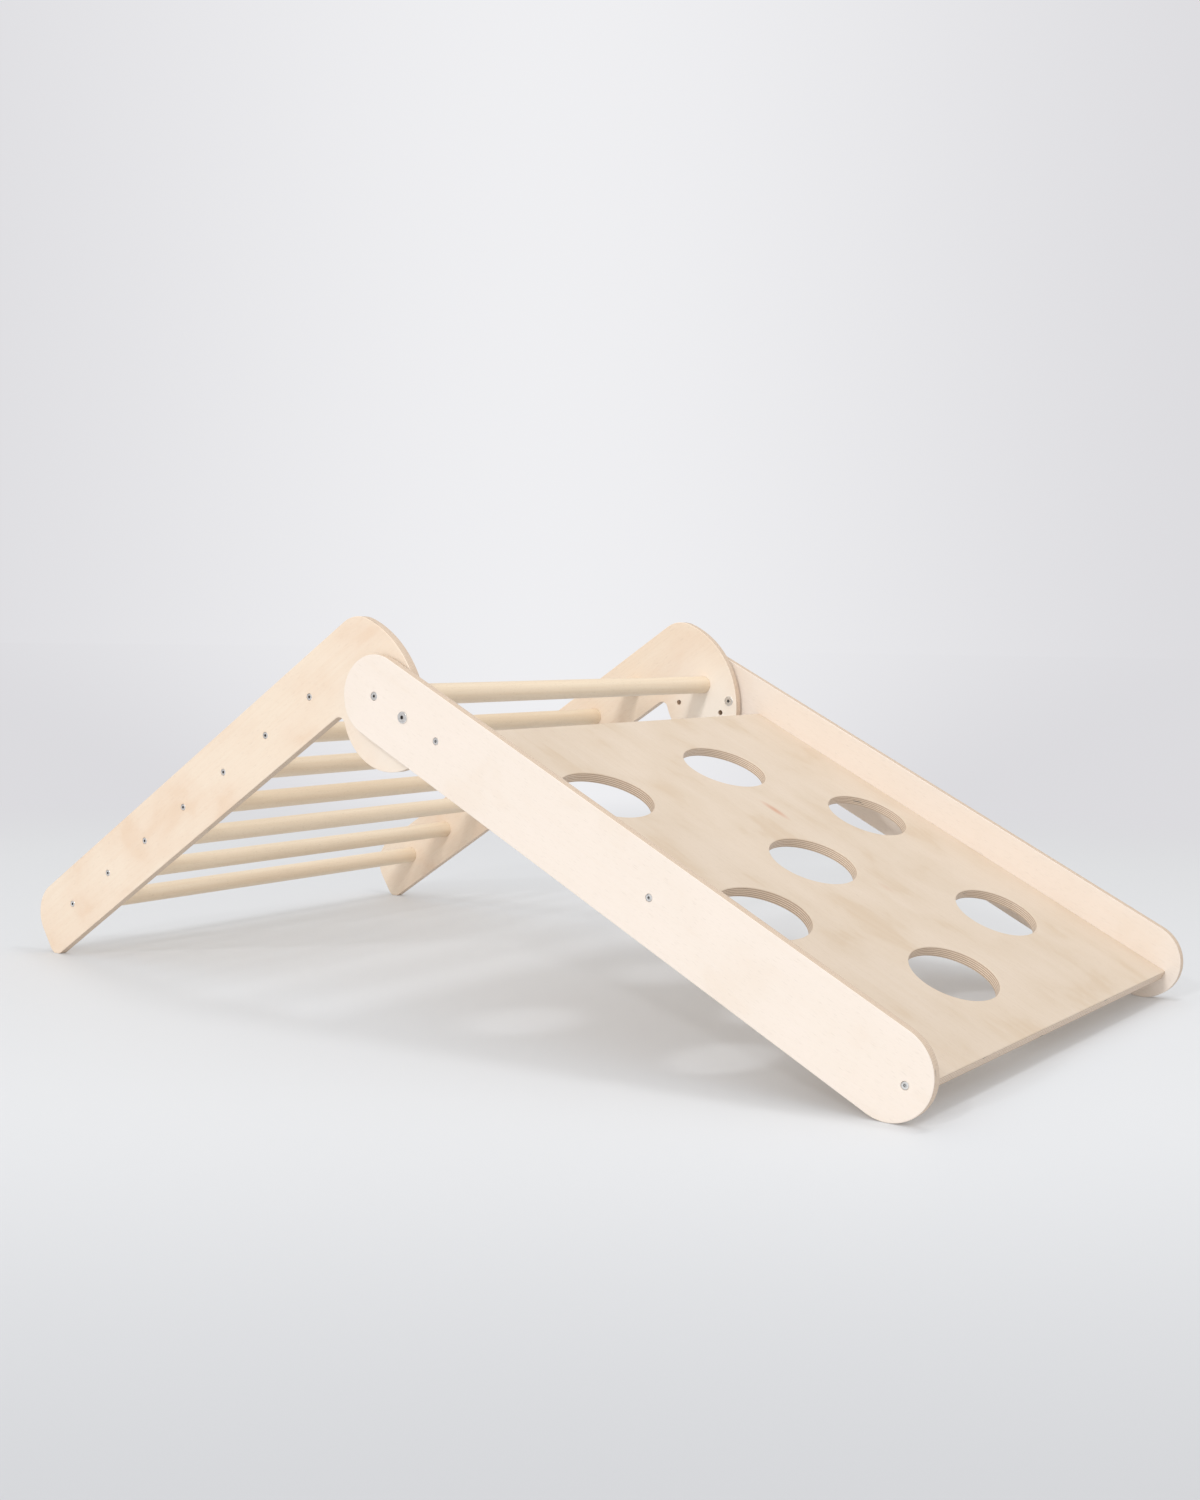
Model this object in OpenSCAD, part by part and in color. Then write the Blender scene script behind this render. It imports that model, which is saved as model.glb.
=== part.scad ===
// Folding plywood climber with a slide board: a rung ladder and a slide that
// turn about one top rung and are held by a lock bolt on each side.
// Origin: on the floor, midway along the length and the width.
// +X points to the foot of the slide, +Z is up.

/* [Overall] */
// Distance between the outer faces of the two ladder sides
frame_w = 840; // [600:5:1000]
// Thickness of every plywood panel
ply_t = 15; // [15:1:21]
// Height of the pivot above the floor
pivot_h = 457; // [445:1:470]
// Gap between a ladder side and the slide rail outside it
side_gap = 5.5; // [2:0.1:6]

/* [Ladder] */
// Slope of the ladder above the floor, in degrees
leg_slope = 33.2; // [32:0.1:34]
// Width of a ladder leg
leg_w = 107; // [100:1:112]
// Distance from the pivot to the centreline of the leg
leg_offset = 75.3; // [72:0.1:78]
// Distance along the leg from the pivot to the topmost of its rungs
rung_start = 127.5; // [122:0.5:134]
// Distance from one rung to the next
rung_pitch = 110.2; // [105:0.1:114]
// Diameter of a rung
rung_d = 30; // [26:1:34]
// How deep a rung sits in the ladder side
socket_depth = 6; // [4:0.5:8]
// Distance from the lowest rung to the centre of the leg's round end
leg_overrun = 40; // [36:1:44]
// Radius of the corner that meets the floor
foot_r = 18; // [14:1:20]

/* [Ladder head] */
// Radius of the large arc over the head
head_r = 160; // [155:1:165]
// Radius of the corner between the leg and the large arc
crown_r = 52; // [30:1:56]
// Radius of the lobe below the pivot
lobe_r = 36; // [28:1:40]
// Radius of the arc under the pivot
under_r = 89; // [86:1:93]
// Radius of the inside corner between head and leg
throat_r = 12; // [6:1:16]

/* [Slide] */
// Width of a slide rail
rail_w = 116; // [108:1:120]
// Distance from the pivot to the centre of the rail's low round end
rail_reach = 893; // [880:1:910]
// Distance from the pivot to the top edge of the board
board_start = 115; // [114:1:118]
// Distance from the pivot to the bottom edge of the board
board_end = 931; // [925:1:940]
// Height of the board's top face above the rail's centreline
board_rise = 4; // [2:0.5:6]
// Length of an oval hand hole, across the slide
hole_len = 173; // [140:1:180]
// Width of an oval hand hole, along the slide
hole_w = 119; // [90:1:124]

/* [Locking] */
// Distance from the pivot to a lock hole
lock_r = 61; // [58:0.5:64]
// How much steeper the slide stands in its second lock hole, in degrees
steep_step = 26; // [22:1:28]
// Diameter of the flat heads of the lock bolt and lock nut
lock_head_d = 17; // [15:0.5:20]

/* [Fasteners] */
// Head diameter of the panel screws
screw_head_d = 10; // [9:0.5:11]
// Shank diameter of the panel screws
screw_d = 6.6; // [6:0.1:7]
// Length of the panel screws
screw_len = 50; // [45:1:60]
// Diameter of the pivot bolts
pivot_d = 8; // [6:0.5:8]
// Head diameter of the pivot bolts
pivot_head_d = 12; // [11:0.5:14]

/* [Hidden] */

$fn = 48;
arc_step = 4;          // degrees between the points of a curved edge
hole_points = 60;      // points round an oval hole
rung_count = 7;

birch_face = [0.93, 0.87, 0.80];
birch_board = [0.90, 0.83, 0.74];
birch_rail = [0.97, 0.94, 0.90];
beech_rung = [0.91, 0.83, 0.71];
steel = [0.72, 0.73, 0.75];
brass = [0.78, 0.66, 0.40];
nylon = [0.93, 0.93, 0.92];

clear = 0.1;           // radial clearance of parts that stay put
run_clear = 0.05;      // radial clearance of parts that turn or slide
head_clear = 0.3;      // radial clearance round a sunk head
flush = 0.3;           // how far a sunk head lies below the surface
screw_head_h = 3.5;
screw_key = 4.6;       // hexagon socket, measured across its corners
pilot_spare = 2;       // depth of a pilot hole beyond the screw's point
pivot_len = 55;
insert_d = 12;
insert_len = 20;
washer_d = 24;
washer_play = 0.1;     // play of the washer on each of its faces
lock_shank_d = 7.9;
lock_nut_d = 8.8;
lock_thread_d = 6.2;
lock_head_h = 1.8;
lock_key = 6;
nut_short = 0.4;       // how far the lock nut's barrel ends inside the panel
nut_floor = 4;         // solid metal between the lock nut's two sockets
foot_flat = 0.9;       // how much of the foot's corner is cut to a flat

half_w = frame_w / 2;
inner_y = half_w - ply_t;                   // inner face of a ladder side
rail_in_y = half_w + side_gap;              // inner face of a rail
rail_out_y = rail_in_y + ply_t;             // outer face of a rail
slide_slope = asin((pivot_h - rail_w / 2) / rail_reach);

// Points on the ladder: a is the distance down the leg, o is square to it.
function on_leg(a, o) = [-cos(leg_slope) * a - sin(leg_slope) * o,
                         -sin(leg_slope) * a + cos(leg_slope) * o];
// Direction of a vector, from 0 to 360 degrees
function angle_of(v) = let (t = atan2(v[1], v[0])) t < 0 ? t + 360 : t;
function arc(c, r, a0, a1) =
    let (n = max(2, ceil(abs(a1 - a0) / arc_step)))
    [for (i = [0:n]) let (t = a0 + (a1 - a0) * i / n) c + r * [cos(t), sin(t)]];
function polar(r, t) = r * [cos(t), sin(t)];

// Side outline of the ladder, with the pivot at [0, 0]
leg_top = leg_offset + leg_w / 2;
leg_bottom = leg_offset - leg_w / 2;
up = 90 + leg_slope;                        // direction square to the leg
last_rung = rung_start + (rung_count - 1) * rung_pitch;
toe_c = on_leg(last_rung + leg_overrun, leg_offset);
// The foot's small corner touches the leg's lower edge and dips under the floor.
foot_a = (pivot_h + leg_bottom * cos(leg_slope) - foot_r * (1 - cos(leg_slope)) + foot_flat)
         / sin(leg_slope);
foot_c = on_leg(foot_a, leg_bottom + foot_r);
toe_gap = norm(foot_c - toe_c);
toe_turn = angle_of(foot_c - toe_c) - acos((leg_w / 2 - foot_r) / toe_gap);

head_c = [-90, -42];                        // centre of the large arc
under_c = [9, -18];                         // centre of the arc under the head
head_gap = norm(under_c - head_c);
// The lobe touches the large arc and the arc under the head, both from inside.
lobe_near = under_r - lobe_r;
lobe_far = head_r - lobe_r;
lobe_turn = acos((lobe_far * lobe_far + head_gap * head_gap - lobe_near * lobe_near)
                 / (2 * lobe_far * head_gap));
lobe_c = head_c + polar(lobe_far, angle_of(under_c - head_c) - lobe_turn);
lobe_join = angle_of(lobe_c - head_c);
under_join = angle_of(lobe_c - under_c);
throat_o = leg_bottom - throat_r;
under_a = -under_c[0] * cos(leg_slope) - under_c[1] * sin(leg_slope);
under_o = -under_c[0] * sin(leg_slope) + under_c[1] * cos(leg_slope);
throat_c = on_leg(under_a + sqrt(pow(under_r + throat_r, 2) - pow(throat_o - under_o, 2)), throat_o);
head_a = -head_c[0] * cos(leg_slope) - head_c[1] * sin(leg_slope);
head_o = -head_c[0] * sin(leg_slope) + head_c[1] * cos(leg_slope);
crown_o = leg_top - crown_r;
crown_c = on_leg(head_a - sqrt(pow(head_r - crown_r, 2) - pow(crown_o - head_o, 2)), crown_o);
crown_join = angle_of(crown_c - head_c);

climber_outline = concat(
    arc(head_c, head_r, lobe_join - 360, crown_join),
    arc(crown_c, crown_r, crown_join, up),
    arc(toe_c, leg_w / 2, up, toe_turn),
    arc(foot_c, foot_r, toe_turn, up + 180),
    arc(throat_c, throat_r, up, angle_of(throat_c - under_c) - 180),
    arc(under_c, under_r, angle_of(throat_c - under_c), under_join),
    arc(lobe_c, lobe_r, under_join, lobe_join));

// Lock holes: slide low, slide steep, and slide folded under the ladder
lock_turns = [-slide_slope, -slide_slope - steep_step, leg_slope - 180];
rest_lock = polar(lock_r, lock_turns[0]);

// Oval hand holes: distance down the slide from the pivot, and across it
hand_holes = [[302, -259], [266, 99], [442, 280], [522, -24], [601, -280], [717, 226], [797, -77]];

screw_inset = 13;                           // from the board's ends to its screws
board_screw_at = [board_start + screw_inset, (board_start + board_end) / 2,
                  board_end - screw_inset];

x_low = toe_c[0] - leg_w / 2;
x_high = rail_reach * cos(slide_slope) + rail_w / 2;
pivot_x = -(x_low + x_high) / 2;

// ---- placing -------------------------------------------------------------
// Children are drawn with the pivot at the origin.
module at_pivot() translate([pivot_x, 0, pivot_h]) children();
// Children are drawn with +X down the slide from the pivot.
module along_slide() at_pivot() rotate([0, slide_slope, 0]) children();
// An upright panel whose faces are at y = from and y = from + thick
module panel(from, thick) translate([0, from + thick, 0]) rotate([90, 0, 0])
    linear_extrude(thick) children();
// Children point inwards, along +Y, from a point on a near-side face.
module inward(p, y) translate([p[0], y, p[1]]) rotate([-90, 0, 0]) children();
// Children point outwards, along -Y.
module outward(p, y) translate([p[0], y, p[1]]) rotate([90, 0, 0]) children();
// The far side mirrors the near side.
module far_side() mirror([0, 1, 0]) children();

// ---- fasteners, drawn along +Z from the outer face of the head ------------
module key_hole(size, depth) translate([0, 0, -1]) cylinder(d = size, h = depth + 1, $fn = 6);
module sunk_screw(head_d, shank_d, len) {
    point_h = shank_d / 4;
    difference() {
        union() {
            cylinder(d = head_d, h = screw_head_h);
            cylinder(d = shank_d, h = len - point_h);
            translate([0, 0, len - point_h]) cylinder(d1 = shank_d, d2 = shank_d - 2 * point_h, h = point_h);
        }
        key_hole(screw_key, screw_head_h * 0.7);
    }
}
// The room that a sunk screw needs, from the surface of the panel
module sunk_hole(head_d, shank_d, gap, len) {
    translate([0, 0, -1]) cylinder(d = head_d + 2 * head_clear, h = screw_head_h + flush + clear + 1);
    cylinder(d = shank_d + 2 * gap, h = len + pilot_spare);
}

// ---- ladder ----------------------------------------------------------------
function rung_place(i) = on_leg(last_rung - (i - 1) * rung_pitch, leg_offset);
module rung_at(i) translate([rung_place(i)[0], 0, rung_place(i)[1]]) children();
module climber_side() color(birch_face) difference() {
    at_pivot() difference() {
        panel(-half_w, ply_t) polygon(climber_outline);
        for (i = [1:rung_count]) rung_at(i) {
            inward([0, 0], -inner_y - socket_depth) cylinder(d = rung_d + 2 * clear, h = socket_depth + 1);
            inward([0, 0], -half_w) sunk_hole(screw_head_d, screw_d, clear, screw_len);
        }
        inward([0, 0], -inner_y - socket_depth) cylinder(d = rung_d + 2 * clear, h = socket_depth + 1);
        inward([0, 0], -half_w - 1) cylinder(d = pivot_d + 2 * clear, h = ply_t);
        for (t = lock_turns)
            inward(polar(lock_r, t), -half_w - 1) cylinder(d = lock_nut_d + 2 * clear, h = ply_t + 2);
    }
    // the flat that the foot stands on
    translate([-frame_w * 2, -frame_w, -frame_w]) cube([frame_w * 4, frame_w * 2, frame_w]);
}
module rung_bar() translate([0, -inner_y - socket_depth + clear, 0])
    rotate([-90, 0, 0]) cylinder(d = rung_d, h = 2 * (inner_y + socket_depth - clear));
module rung(i) color(beech_rung) at_pivot() rung_at(i) difference() {
    rung_bar();
    inward([0, 0], -half_w) sunk_hole(screw_head_d, screw_d, clear, screw_len);
    far_side() inward([0, 0], -half_w) sunk_hole(screw_head_d, screw_d, clear, screw_len);
}
module rung_screws() color(steel) at_pivot() for (i = [1:rung_count])
    rung_at(i) inward([0, 0], -half_w + flush) sunk_screw(screw_head_d, screw_d, screw_len);

// ---- pivot -------------------------------------------------------------------
rung_end_y = inner_y + socket_depth - clear;
module insert_room() inward([0, 0], -rung_end_y - 1)
    cylinder(d = insert_d + 2 * clear, h = insert_len + 1);
module pivot_room(gap) inward([0, 0], -rail_out_y) sunk_hole(pivot_head_d, pivot_d, gap, pivot_len);
module head_rung() color(beech_rung) at_pivot() difference() {
    rung_bar();
    insert_room();
    pivot_room(clear);
    far_side() { insert_room(); pivot_room(clear); }
}
module head_insert() color(brass) at_pivot() inward([0, 0], -rung_end_y) difference() {
    cylinder(d = insert_d, h = insert_len);
    translate([0, 0, -1]) cylinder(d = pivot_d + 2 * clear, h = insert_len + 2);
}
module pivot_bolt() color(steel) at_pivot()
    inward([0, 0], -rail_out_y + flush) sunk_screw(pivot_head_d, pivot_d, pivot_len);
module pivot_washer() color(nylon) at_pivot() inward([0, 0], -rail_in_y + washer_play) difference() {
    cylinder(d = washer_d, h = side_gap - 2 * washer_play);
    translate([0, 0, -1]) cylinder(d = pivot_d + 4 * clear, h = side_gap + 2);
}

// ---- slide -------------------------------------------------------------------
module rail() color(birch_rail) along_slide() difference() {
    panel(-rail_out_y, ply_t) {
        translate([0, -rail_w / 2]) square([rail_reach, rail_w]);
        circle(d = rail_w, $fn = 96);
        translate([rail_reach, 0]) circle(d = rail_w, $fn = 96);
    }
    pivot_room(run_clear);
    inward([lock_r, 0], -rail_out_y - 1) cylinder(d = lock_shank_d + 2 * run_clear, h = ply_t + 2);
    for (u = board_screw_at)
        inward([u, 0], -rail_out_y) sunk_hole(screw_head_d, screw_d, clear, screw_len);
}
module oval() polygon([for (i = [0:hole_points - 1]) let (t = 360 * i / hole_points)
                       [hole_w / 2 * cos(t), hole_len / 2 * sin(t)]]);
module slide_board() color(birch_board) along_slide() difference() {
    translate([0, 0, board_rise - ply_t]) linear_extrude(ply_t) difference() {
        translate([board_start, -rail_in_y]) square([board_end - board_start, 2 * rail_in_y]);
        for (h = hand_holes) translate(h) oval();
    }
    for (u = board_screw_at) {
        inward([u, 0], -rail_out_y) sunk_hole(screw_head_d, screw_d, clear, screw_len);
        far_side() inward([u, 0], -rail_out_y) sunk_hole(screw_head_d, screw_d, clear, screw_len);
    }
}
module board_screws() color(steel) along_slide() for (u = board_screw_at)
    inward([u, 0], -rail_out_y + flush) sunk_screw(screw_head_d, screw_d, screw_len);

// ---- lock --------------------------------------------------------------------
module lock_nut() color(steel) at_pivot() outward(rest_lock, -inner_y + lock_head_h) difference() {
    union() {
        cylinder(d = lock_head_d, h = lock_head_h);
        cylinder(d = lock_nut_d, h = lock_head_h + ply_t - nut_short);
    }
    key_hole(lock_key, lock_head_h + 1);
    translate([0, 0, lock_head_h + nut_floor]) cylinder(d = lock_thread_d, h = ply_t);
}
module lock_bolt() color(steel) along_slide()
    inward([lock_r, 0], -rail_out_y - washer_play - lock_head_h) difference() {
        union() {
            cylinder(d = lock_head_d, h = lock_head_h);
            cylinder(d = lock_shank_d, h = lock_head_h + ply_t);
        }
        key_hole(lock_key, lock_head_h + 1);
    }

climber_side();  // climber_side_near
far_side() climber_side();  // climber_side_far
rung(1);  // rung_1
rung(2);  // rung_2
rung(3);  // rung_3
rung(4);  // rung_4
rung(5);  // rung_5
rung(6);  // rung_6
rung(7);  // rung_7
head_rung();
head_insert();  // head_insert_near
far_side() head_insert();  // head_insert_far
rung_screws();  // rung_screws_near
far_side() rung_screws();  // rung_screws_far
pivot_bolt();  // pivot_bolt_near
far_side() pivot_bolt();  // pivot_bolt_far
pivot_washer();  // pivot_washer_near
far_side() pivot_washer();  // pivot_washer_far
lock_nut();  // lock_nut_near
far_side() lock_nut();  // lock_nut_far
rail();  // slide_rail_near
far_side() rail();  // slide_rail_far
slide_board();
board_screws();  // board_screws_near
far_side() board_screws();  // board_screws_far
lock_bolt();  // lock_bolt_near
far_side() lock_bolt();  // lock_bolt_far
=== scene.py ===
"""Looks of the folding toddler slide: birch plywood, turned rungs and plated fasteners.

Every shape is built at rest in the frame's own coordinates, in metres, at the sizes of the
CAD node that it stands for. The near side is -Y, and +X points to the low end of the slide.
"""

import math

import bpy
from mathutils import Matrix, Vector
from mathutils.geometry import tessellate_polygon


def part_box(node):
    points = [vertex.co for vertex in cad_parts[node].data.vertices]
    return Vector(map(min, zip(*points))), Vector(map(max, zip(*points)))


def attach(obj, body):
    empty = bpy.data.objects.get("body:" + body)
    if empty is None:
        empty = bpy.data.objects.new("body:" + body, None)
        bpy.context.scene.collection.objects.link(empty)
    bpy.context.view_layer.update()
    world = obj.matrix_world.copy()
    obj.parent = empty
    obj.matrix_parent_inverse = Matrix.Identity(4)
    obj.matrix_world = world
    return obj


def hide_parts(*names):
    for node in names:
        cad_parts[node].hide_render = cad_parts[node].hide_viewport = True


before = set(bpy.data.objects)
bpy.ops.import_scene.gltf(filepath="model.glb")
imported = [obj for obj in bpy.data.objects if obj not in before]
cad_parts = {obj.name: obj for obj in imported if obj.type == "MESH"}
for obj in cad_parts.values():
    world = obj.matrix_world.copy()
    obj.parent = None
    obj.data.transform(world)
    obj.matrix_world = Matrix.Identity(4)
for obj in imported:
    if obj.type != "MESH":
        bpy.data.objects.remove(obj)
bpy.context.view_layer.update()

MM = 0.001

# ---- sizes that the design fixes ------------------------------------------------
PLY = 15 * MM
PLIES = 11
LEG_SLOPE = 33.2
LEG_W = 107 * MM
LEG_OFFSET = 75.3 * MM
RUNG_COUNT = 7
RUNG_START = 127.5 * MM
RUNG_PITCH = 110.2 * MM
RUNG_R = 15 * MM
SOCKET = 6 * MM
LEG_OVERRUN = 40 * MM
FOOT_R = 18 * MM
FOOT_FLAT = 0.9 * MM

HEAD_C = Vector((-90, -42)) * MM
HEAD_R = 160 * MM
CROWN_R = 52 * MM
LOBE_R = 36 * MM
UNDER_C = Vector((9, -18)) * MM
UNDER_R = 89 * MM
THROAT_R = 12 * MM

RAIL_R = 58 * MM
RAIL_REACH = 893 * MM
BOARD_START = 115 * MM
BOARD_END = 931 * MM
BOARD_RISE = 4 * MM
OVAL_LONG = 173 * MM
OVAL_SHORT = 119 * MM
# Hand holes in millimetres: distance down the slide from the pivot, and across it
HAND_HOLES = [(302, -259), (266, 99), (442, 280), (522, -24), (601, -280), (717, 226), (797, -77)]

LOCK_AT = 61 * MM
STEEP_STEP = 26               # degrees between the first two lock holes
SCREW_INSET = 13 * MM

# ---- hardware -------------------------------------------------------------------
SCREW_HEAD_R, SCREW_R, SCREW_LEN = 5 * MM, 3.3 * MM, 50 * MM
PIVOT_HEAD_R, PIVOT_BOLT_R, PIVOT_LEN = 6 * MM, 4 * MM, 55 * MM
SCREW_HEAD_H = 3.5 * MM
SCREW_KEY, SCREW_KEY_DEPTH = 4.6 * MM, 2.45 * MM
LOCK_HEAD_R, LOCK_HEAD_H = 8.5 * MM, 1.8 * MM
LOCK_KEY, LOCK_KEY_DEPTH = 6 * MM, 2.8 * MM
LOCK_BOLT_R = 3.95 * MM
LOCK_NUT_R = 4.4 * MM
THREAD_R = 3.1 * MM
NUT_SHORT = 0.4 * MM          # how far the nut's sleeve ends below the outer face
NUT_FLOOR = 4 * MM            # solid depth between the nut's head and its thread
INSERT_R, INSERT_LEN = 6 * MM, 20 * MM
WASHER_R = 12 * MM
SUNK = 0.3 * MM               # how far a screw head lies below the face
PILOT_SPARE = 2 * MM          # how much deeper a bore is than its screw
CLEAR = 0.1 * MM              # round a piece that sits in its hole
RUN_CLEAR = 0.05 * MM         # round a shank that turns or slides
HEAD_CLEAR = 0.3 * MM         # round a sunk head

# ---- small sizes of the finish --------------------------------------------------
ARC_STEP = 3              # degrees between the points of a curved edge
SOFT_TURN = 40            # a corner that turns less than this is shaded smooth
RIM = 1.2 * MM            # rounding of the panel edges
BOARD_RIM = 1.6 * MM      # rounding of the board and its hand holes
MOUTH = 0.3 * MM          # broken edge round a drilled hole
SEAT_MOUTH = 0.15 * MM    # broken edge round a rung's seat
RING_RIM = 0.3 * MM       # rounding of a washer or a sleeve
RING_MOUTH = 0.2 * MM
RUNG_CHAMFER = 0.8 * MM
SCREW_CHAMFER = 0.5 * MM
RIM_STEPS = 5             # flats across one rounding

# How many flats go round a screw, a hole or a ring, a rung, and an oval or the floor
SCREW_FLATS, FLATS, RUNG_FLATS, OVAL_FLATS = 32, 48, 72, 96

# ---- places read from the frame -------------------------------------------------
rung_low, rung_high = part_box("head_rung")
PIVOT = (rung_low + rung_high) / 2
RUNG_END = rung_high.y
SIDE_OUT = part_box("climber_side_far")[1].y
RAIL_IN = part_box("slide_rail_far")[0].y
RAIL_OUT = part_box("slide_rail_far")[1].y
SIDE_IN = SIDE_OUT - PLY
SLIDE_SLOPE = math.degrees(math.asin((PIVOT.z - RAIL_R) / RAIL_REACH))


# ---- camera ---------------------------------------------------------------------
def make_camera(offset, yaw, pitch, roll, lens, shift):
    """A camera at an offset from the pivot. Angles are in degrees, yaw from +Y to -X."""
    data = bpy.data.cameras.new("camera")
    data.sensor_width = 36
    data.lens = lens
    data.shift_y = shift
    camera = bpy.data.objects.new("camera", data)
    bpy.context.scene.collection.objects.link(camera)
    turn = (Matrix.Rotation(math.radians(yaw), 4, "Z")
            @ Matrix.Rotation(math.radians(90 - pitch), 4, "X")
            @ Matrix.Rotation(math.radians(roll), 4, "Z"))
    camera.matrix_world = Matrix.Translation(PIVOT + Vector(offset)) @ turn
    bpy.context.scene.camera = camera


CAMERA_YAW = 36.07
make_camera(offset=(1.656, -2.178, 0.100), yaw=CAMERA_YAW, pitch=4.5, roll=0.8,
            lens=41.12, shift=0.008)


# ---- plane geometry -------------------------------------------------------------
def polar(radius, degrees):
    turn = math.radians(degrees)
    return Vector((math.cos(turn), math.sin(turn))) * radius


def angle_of(v):
    """Direction of a plane vector, from 0 to 360 degrees."""
    return math.degrees(math.atan2(v.y, v.x)) % 360


def arc(centre, radius, start, end):
    count = max(2, math.ceil(abs(end - start) / ARC_STEP))
    return [centre + polar(radius, start + (end - start) * i / count) for i in range(count + 1)]


def circle(centre, radius, count=FLATS):
    return [centre + polar(radius, 360 * i / count) for i in range(count)]


def on_leg(along, square):
    """A point on the ladder, from the pivot: along the leg, and square to it."""
    slope = math.radians(LEG_SLOPE)
    return Vector((-math.cos(slope) * along - math.sin(slope) * square,
                   -math.sin(slope) * along + math.cos(slope) * square))


def from_leg(point):
    """The inverse of on_leg: how far a point is along the leg, and square to it."""
    slope = math.radians(LEG_SLOPE)
    return (-point.x * math.cos(slope) - point.y * math.sin(slope),
            -point.x * math.sin(slope) + point.y * math.cos(slope))


def cosine_angle(x):
    return math.degrees(math.acos(x))


def rung_place(i):
    return on_leg(RUNG_START + (RUNG_COUNT - i) * RUNG_PITCH, LEG_OFFSET)


def above(points, level):
    """The part of a closed outline above a level, cut straight."""
    kept = []
    for a, b in zip(points, points[1:] + points[:1]):
        if a.y >= level:
            kept.append(a)
        if (a.y >= level) != (b.y >= level):
            kept.append(a.lerp(b, (level - a.y) / (b.y - a.y)))
    return kept


def without_repeats(points):
    return [p for p, q in zip(points, points[1:] + points[:1]) if (p - q).length > 1e-5]


def ladder_outline():
    """Side view of a ladder side, with the pivot at the origin. Every arc meets the next in line."""
    slope = math.radians(LEG_SLOPE)
    up = 90 + LEG_SLOPE
    leg_top = LEG_OFFSET + LEG_W / 2
    leg_bottom = LEG_OFFSET - LEG_W / 2
    toe = on_leg(RUNG_START + (RUNG_COUNT - 1) * RUNG_PITCH + LEG_OVERRUN, LEG_OFFSET)
    drop = leg_bottom * math.cos(slope) - FOOT_R * (1 - math.cos(slope)) + FOOT_FLAT
    foot = on_leg((PIVOT.z + drop) / math.sin(slope), leg_bottom + FOOT_R)
    toe_turn = angle_of(foot - toe) - cosine_angle((LEG_W / 2 - FOOT_R) / (foot - toe).length)
    near, far, gap = UNDER_R - LOBE_R, HEAD_R - LOBE_R, (UNDER_C - HEAD_C).length
    lobe_turn = cosine_angle((far * far + gap * gap - near * near) / (2 * far * gap))
    lobe = HEAD_C + polar(far, angle_of(UNDER_C - HEAD_C) - lobe_turn)
    lobe_join = angle_of(lobe - HEAD_C)
    under_join = angle_of(lobe - UNDER_C)
    throat_off = leg_bottom - THROAT_R
    under_along, under_off = from_leg(UNDER_C)
    reach = math.sqrt((UNDER_R + THROAT_R) ** 2 - (throat_off - under_off) ** 2)
    throat = on_leg(under_along + reach, throat_off)
    head_along, head_off = from_leg(HEAD_C)
    crown_off = leg_top - CROWN_R
    crown = on_leg(head_along - math.sqrt((HEAD_R - CROWN_R) ** 2 - (crown_off - head_off) ** 2), crown_off)
    crown_join = angle_of(crown - HEAD_C)
    points = (arc(HEAD_C, HEAD_R, lobe_join - 360, crown_join)
              + arc(crown, CROWN_R, crown_join, up)
              + arc(toe, LEG_W / 2, up, toe_turn)
              + arc(foot, FOOT_R, toe_turn, up + 180)
              + arc(throat, THROAT_R, up, angle_of(throat - UNDER_C) - 180)
              + arc(UNDER_C, UNDER_R, angle_of(throat - UNDER_C), under_join)
              + arc(lobe, LOBE_R, under_join, lobe_join))
    return without_repeats(above(points, -PIVOT.z))


def rail_outline():
    return arc(Vector((0, 0)), RAIL_R, 90, 270) + arc(Vector((RAIL_REACH, 0)), RAIL_R, -90, 90)


def oval(centre):
    turns = [2 * math.pi * i / OVAL_FLATS for i in range(OVAL_FLATS)]
    return [centre + Vector((OVAL_SHORT / 2 * math.cos(t), OVAL_LONG / 2 * math.sin(t))) for t in turns]


# ---- solid building -------------------------------------------------------------
def rounded(thick, radius):
    """Edge profile of a panel with both rims rounded: (inset, depth) from front to back."""
    turns = [math.pi / 2 * i / RIM_STEPS for i in range(RIM_STEPS + 1)]
    front = [(radius * (1 - math.sin(t)), radius * (1 - math.cos(t))) for t in turns]
    return front + [(inset, thick - depth) for inset, depth in reversed(front)]


def drilled(*steps, mouths=(MOUTH, MOUTH)):
    """Profile of a stepped round hole from steps of (radius, start depth, end depth).
    A mouth above 0 breaks the edge at that end."""
    profile = [(radius, depth) for radius, start, end in steps for depth in (start, end)]
    sign = 1 if steps[-1][2] > steps[0][1] else -1
    if mouths[0]:
        radius, depth = profile[0]
        profile[0:1] = [(radius + mouths[0], depth), (radius, depth + sign * mouths[0])]
    if mouths[1]:
        radius, depth = profile[-1]
        profile[-1:] = [(radius, depth - sign * mouths[1]), (radius + mouths[1], depth)]
    return profile


def soft(a, b):
    """The shading normal where two flats meet, or None where the corner stays sharp."""
    if a.dot(b) < math.cos(math.radians(SOFT_TURN)):
        return None
    return (a + b).normalized()


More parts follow.
